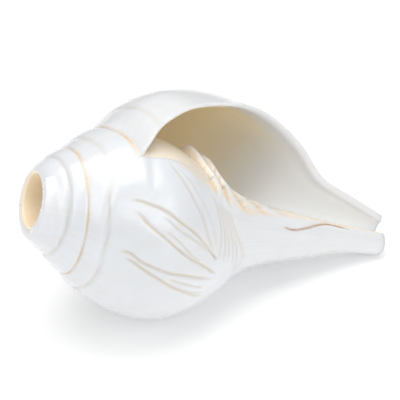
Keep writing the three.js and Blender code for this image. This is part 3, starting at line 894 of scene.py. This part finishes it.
# %% The glaze's edge
GLAZE_EDGE = [(0.2, 42), (0.264, 41), (0.31, 40.5), (0.355, 42), (0.43, 47)]
EDGE_DUST, EDGE_WIDTH, EDGE_OUT = 0.6, 0.35, 0.5
edge = curve(GLAZE_EDGE)
away, share = distance_to(on_shell(edge[:, 0], edge[:, 1], WHORL_BEFORE))
edge_dust = EDGE_DUST * bell(away, EDGE_WIDTH) * smooth((1 - share) / EDGE_OUT) * front
seam_mask = np.maximum(seam_mask, edge_dust)
print("dusty points:", int((seam_mask > 0.1).sum()))

# %% The stain in the blow hole
STAIN_PLACE = (3.2, 219)     # mm along the axis, and degrees
STAIN_SIZE = (2.4, 17)
stain_away = np.hypot((along_axis - STAIN_PLACE[0]) / STAIN_SIZE[0],
                      (degrees - STAIN_PLACE[1]) / STAIN_SIZE[1])
stain = bell(stain_away, 1) * (wall == BORED)
print("stain at its strongest:", round(float(stain.max()), 2))

# %% The swelling behind the lip
SWELL = 2.8                          # mm, over the shoulder of the body whorl
SWELL_BACK, SWELL_LOW = 0.42, 0.66   # it ends this many turns back, and at this station
swell_turns = smooth(-turn / 0.08) * smooth((turn + SWELL_BACK) / 0.2)
swell = swell_turns * smooth(station / 0.2) * smooth((SWELL_LOW - station) / 0.3)
move += SWELL * swell * outer
print("swells by", round(SWELL * (swell * outer).max(), 2), "mm")

# %% [markdown]
# ## Moving the points
# Every cut and swelling has added to one number per point, its move along the normal, and the folds
# to a second, its move out from the axis. Both are applied once, so that no cut bends the normals
# that the next one would use. The colours are stored after that as masks, one value for each point.

# %% Move the points
outward = np.column_stack([upright * math.sin(NOSE_DOWN), local[:, 1], upright * math.cos(NOSE_DOWN)])
outward /= np.maximum(radius, 0.1)[:, None]
points += normals * move[:, None] + outward * bulge[:, None]
shell_mesh.vertices.foreach_set("co", (points * MM).ravel())
print("moved in by up to", round(-move.min(), 2), "mm and out by up to", round(move.max(), 2), "mm")


# %% Store the dust
def store(name, values):
    """Keep a mask on the mesh for the material to read."""
    attribute = shell_mesh.attributes.new(name, "FLOAT", "POINT")
    attribute.data.foreach_set("value", np.clip(values, 0, 1).astype(np.float32))


inside = (wall == ROOF) | ((wall == PILLAR_SIDE) & (turn < 0.0))
store("groove_shade", groove_shade)
store("seam", seam_mask)
print("points deep in the hollow:", int(inside.sum()))

# %% Store the glaze
# The glaze ends at a number of degrees that differs by station, and fades towards both ends.
GLAZE_STATIONS, GLAZE_DEGREES = [0.35, 0.5, 0.6, 0.75, 0.81, 0.95], [43, 55, 60, 64, 70, 50]
GLAZE_TOP, GLAZE_FOOT = 0.2, 0.98
CREAM, CREST_HIGHLIGHT, CREASE_SHADE = 0.75, 0.6, 0.5     # painted highlight whitens the crests, painted shade tints the creases
glaze_end = np.interp(station, GLAZE_STATIONS, GLAZE_DEGREES)
glazed = (smooth((glaze_end + 3 - degrees) / 7) * smooth((GLAZE_FOOT - station) / 0.2)
          * smooth((station - GLAZE_TOP) / 0.12) * (turn < FRONT_TURN) * outer)
behind = (wall == PILLAR_SIDE) & (turn >= BEHIND_TURN)
# Besides the real cream glaze, this mask holds the painted highlight on the crests and the painted shade in
# the creases.
store("cream_and_fold_light", (glazed + behind) * (CREAM - CREST_HIGHLIGHT * crest_highlight) + CREASE_SHADE * crease_shade)
print("points under glaze:", int(((glazed + behind) > 0.5).sum()))

# %% Store the colours of the hollow
RIM_TURNS, RIM_FADES = 0.012, 0.03                   # the lip's edge keeps the outside's white
CANAL_FROM, CANAL_FADES = 0.5, 0.3                   # stations
TAN_TO, TAN_FADES = 0.38, 0.4
SLIT_STAIN, CREASE_SHADE_TINT = 0.8, 0.12
past_rim = smooth((-turn - RIM_TURNS) / RIM_FADES)
# The canal's mask paints its inside whiter than the outside, as painted light in the hollow.
store("canal_light", inside * past_rim * smooth((station - CANAL_FROM) / CANAL_FADES))
store("tan", inside * past_rim * (1 - smooth((station - TAN_TO) / TAN_FADES)))
store("bore", wall == BORED)
# Besides the real stains, this mask holds a little painted shade in the creases of the folds.
store("stain", np.maximum(stain, np.maximum(SLIT_STAIN * slit, CREASE_SHADE_TINT * crease_shade)))
print("masks stored:", len(LAYERS))

# %% Shade it smooth
shell_mesh.update()
for polygon in shell_mesh.polygons:
    polygon.use_smooth = True
triangles = sum(len(p.vertices) - 2 for p in shell_mesh.polygons)
print("shell:", len(shell_mesh.vertices), "points,", triangles, "triangles")

# %% [markdown]
# ## The frame
# The finished mesh takes the place of the plain solid. Nothing on a shell moves, so it rides on the
# one body there is.

# %% Hand the piece to the frame
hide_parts("shell")
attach(shell, "root")
print("handed over:", shell.name)

# %% [markdown]
# ## Floor, light and camera
# The shell lies on white paper under a broad overhead light, with a window to the left and a weak
# light in front. Large lights give a glossy white thing soft edges to its shine. The paper glows
# faintly, which stands in for light that comes back to it from white walls. A long lens, a little
# above the shell, keeps the far end from looking small.

# %% The paper
FLOOR_SIZE, FLOOR_Z = 6.0, -0.0003      # metres; just under the shell, so that the two don't touch
PAPER_GLOW, PAPER_ROUGHNESS = 0.22, 0.9


def plane(name, size, z):
    """A square sheet, flat at a height."""
    mesh = bpy.data.meshes.new(name)
    h = size / 2
    mesh.from_pydata([(-h, -h, z), (h, -h, z), (h, h, z), (-h, h, z)], [], [(0, 1, 2, 3)])
    made = bpy.data.objects.new(name, mesh)
    bpy.context.collection.objects.link(made)
    return made


floor = plane("floor", FLOOR_SIZE, FLOOR_Z)
paper = bpy.data.materials.new("white paper")    # uncoated paper: matt, and nearly white
paper.use_nodes = True
sheet = paper.node_tree.nodes["Principled BSDF"].inputs
sheet["Base Color"].default_value = linear("F0F0F0")
sheet["Emission Color"].default_value = linear("FFFFFF")
sheet["Emission Strength"].default_value = PAPER_GLOW
sheet["Roughness"].default_value = PAPER_ROUGHNESS
floor.data.materials.append(paper)
print("floor:", FLOOR_SIZE, "m wide")


# %% The lights
def softbox(name, place, aim, size, power):
    """A rectangular light, of a size in metres and a power in watts, that faces a place."""
    light = bpy.data.lights.new(name, "AREA")
    light.shape, light.energy = "RECTANGLE", power
    light.size, light.size_y = size
    made = bpy.data.objects.new(name, light)
    made.location = place
    made.rotation_euler = (Vector(place) - Vector(aim)).to_track_quat("Z", "Y").to_euler()
    bpy.context.collection.objects.link(made)


middle = (Vector(cad_box[0]) + Vector(cad_box[1])) / 2
softbox("overhead", (0.0, 0.05, 0.95), middle, (0.9, 0.9), 7.2)
softbox("left window", (-0.75, -0.3, 0.7), middle, (0.5, 0.8), 2.4)
softbox("front fill", (0.3, -0.85, 0.6), middle, (1.0, 0.6), 3.3)
print("lights:", len(bpy.data.lights))

# %% The room
ROOM_LIGHT = 0.24
world = bpy.data.worlds.new("studio")
world.use_nodes = True
world.node_tree.nodes["Background"].inputs[0].default_value = (1, 1, 1, 1)
world.node_tree.nodes["Background"].inputs[1].default_value = ROOM_LIGHT
bpy.context.scene.world = world
bpy.context.scene.view_settings.view_transform = "Standard"
print("room light:", ROOM_LIGHT)

# %% The camera
SENSOR, LENS = 36.0, 162.2              # mm
AIM = Vector((-5.25, -7.24, 47.1)) * MM
AZIMUTH, ELEVATION, TILT = math.radians(-17.67), math.radians(31.86), math.radians(-3.22)
DISTANCE = 0.7                          # metres
camera_data = bpy.data.cameras.new("camera")
camera_data.sensor_width, camera_data.lens = SENSOR, LENS
camera = bpy.data.objects.new("camera", camera_data)
bpy.context.collection.objects.link(camera)
back = Vector((math.sin(AZIMUTH) * math.cos(ELEVATION), -math.cos(AZIMUTH) * math.cos(ELEVATION),
               math.sin(ELEVATION)))
camera.location = AIM + back * DISTANCE
camera.rotation_euler = (back.to_track_quat("Z", "Y").to_matrix()
                         @ Matrix.Rotation(TILT, 3, "Z")).to_euler()
bpy.context.scene.camera = camera
print("camera at", [round(value, 3) for value in camera.location], "m")
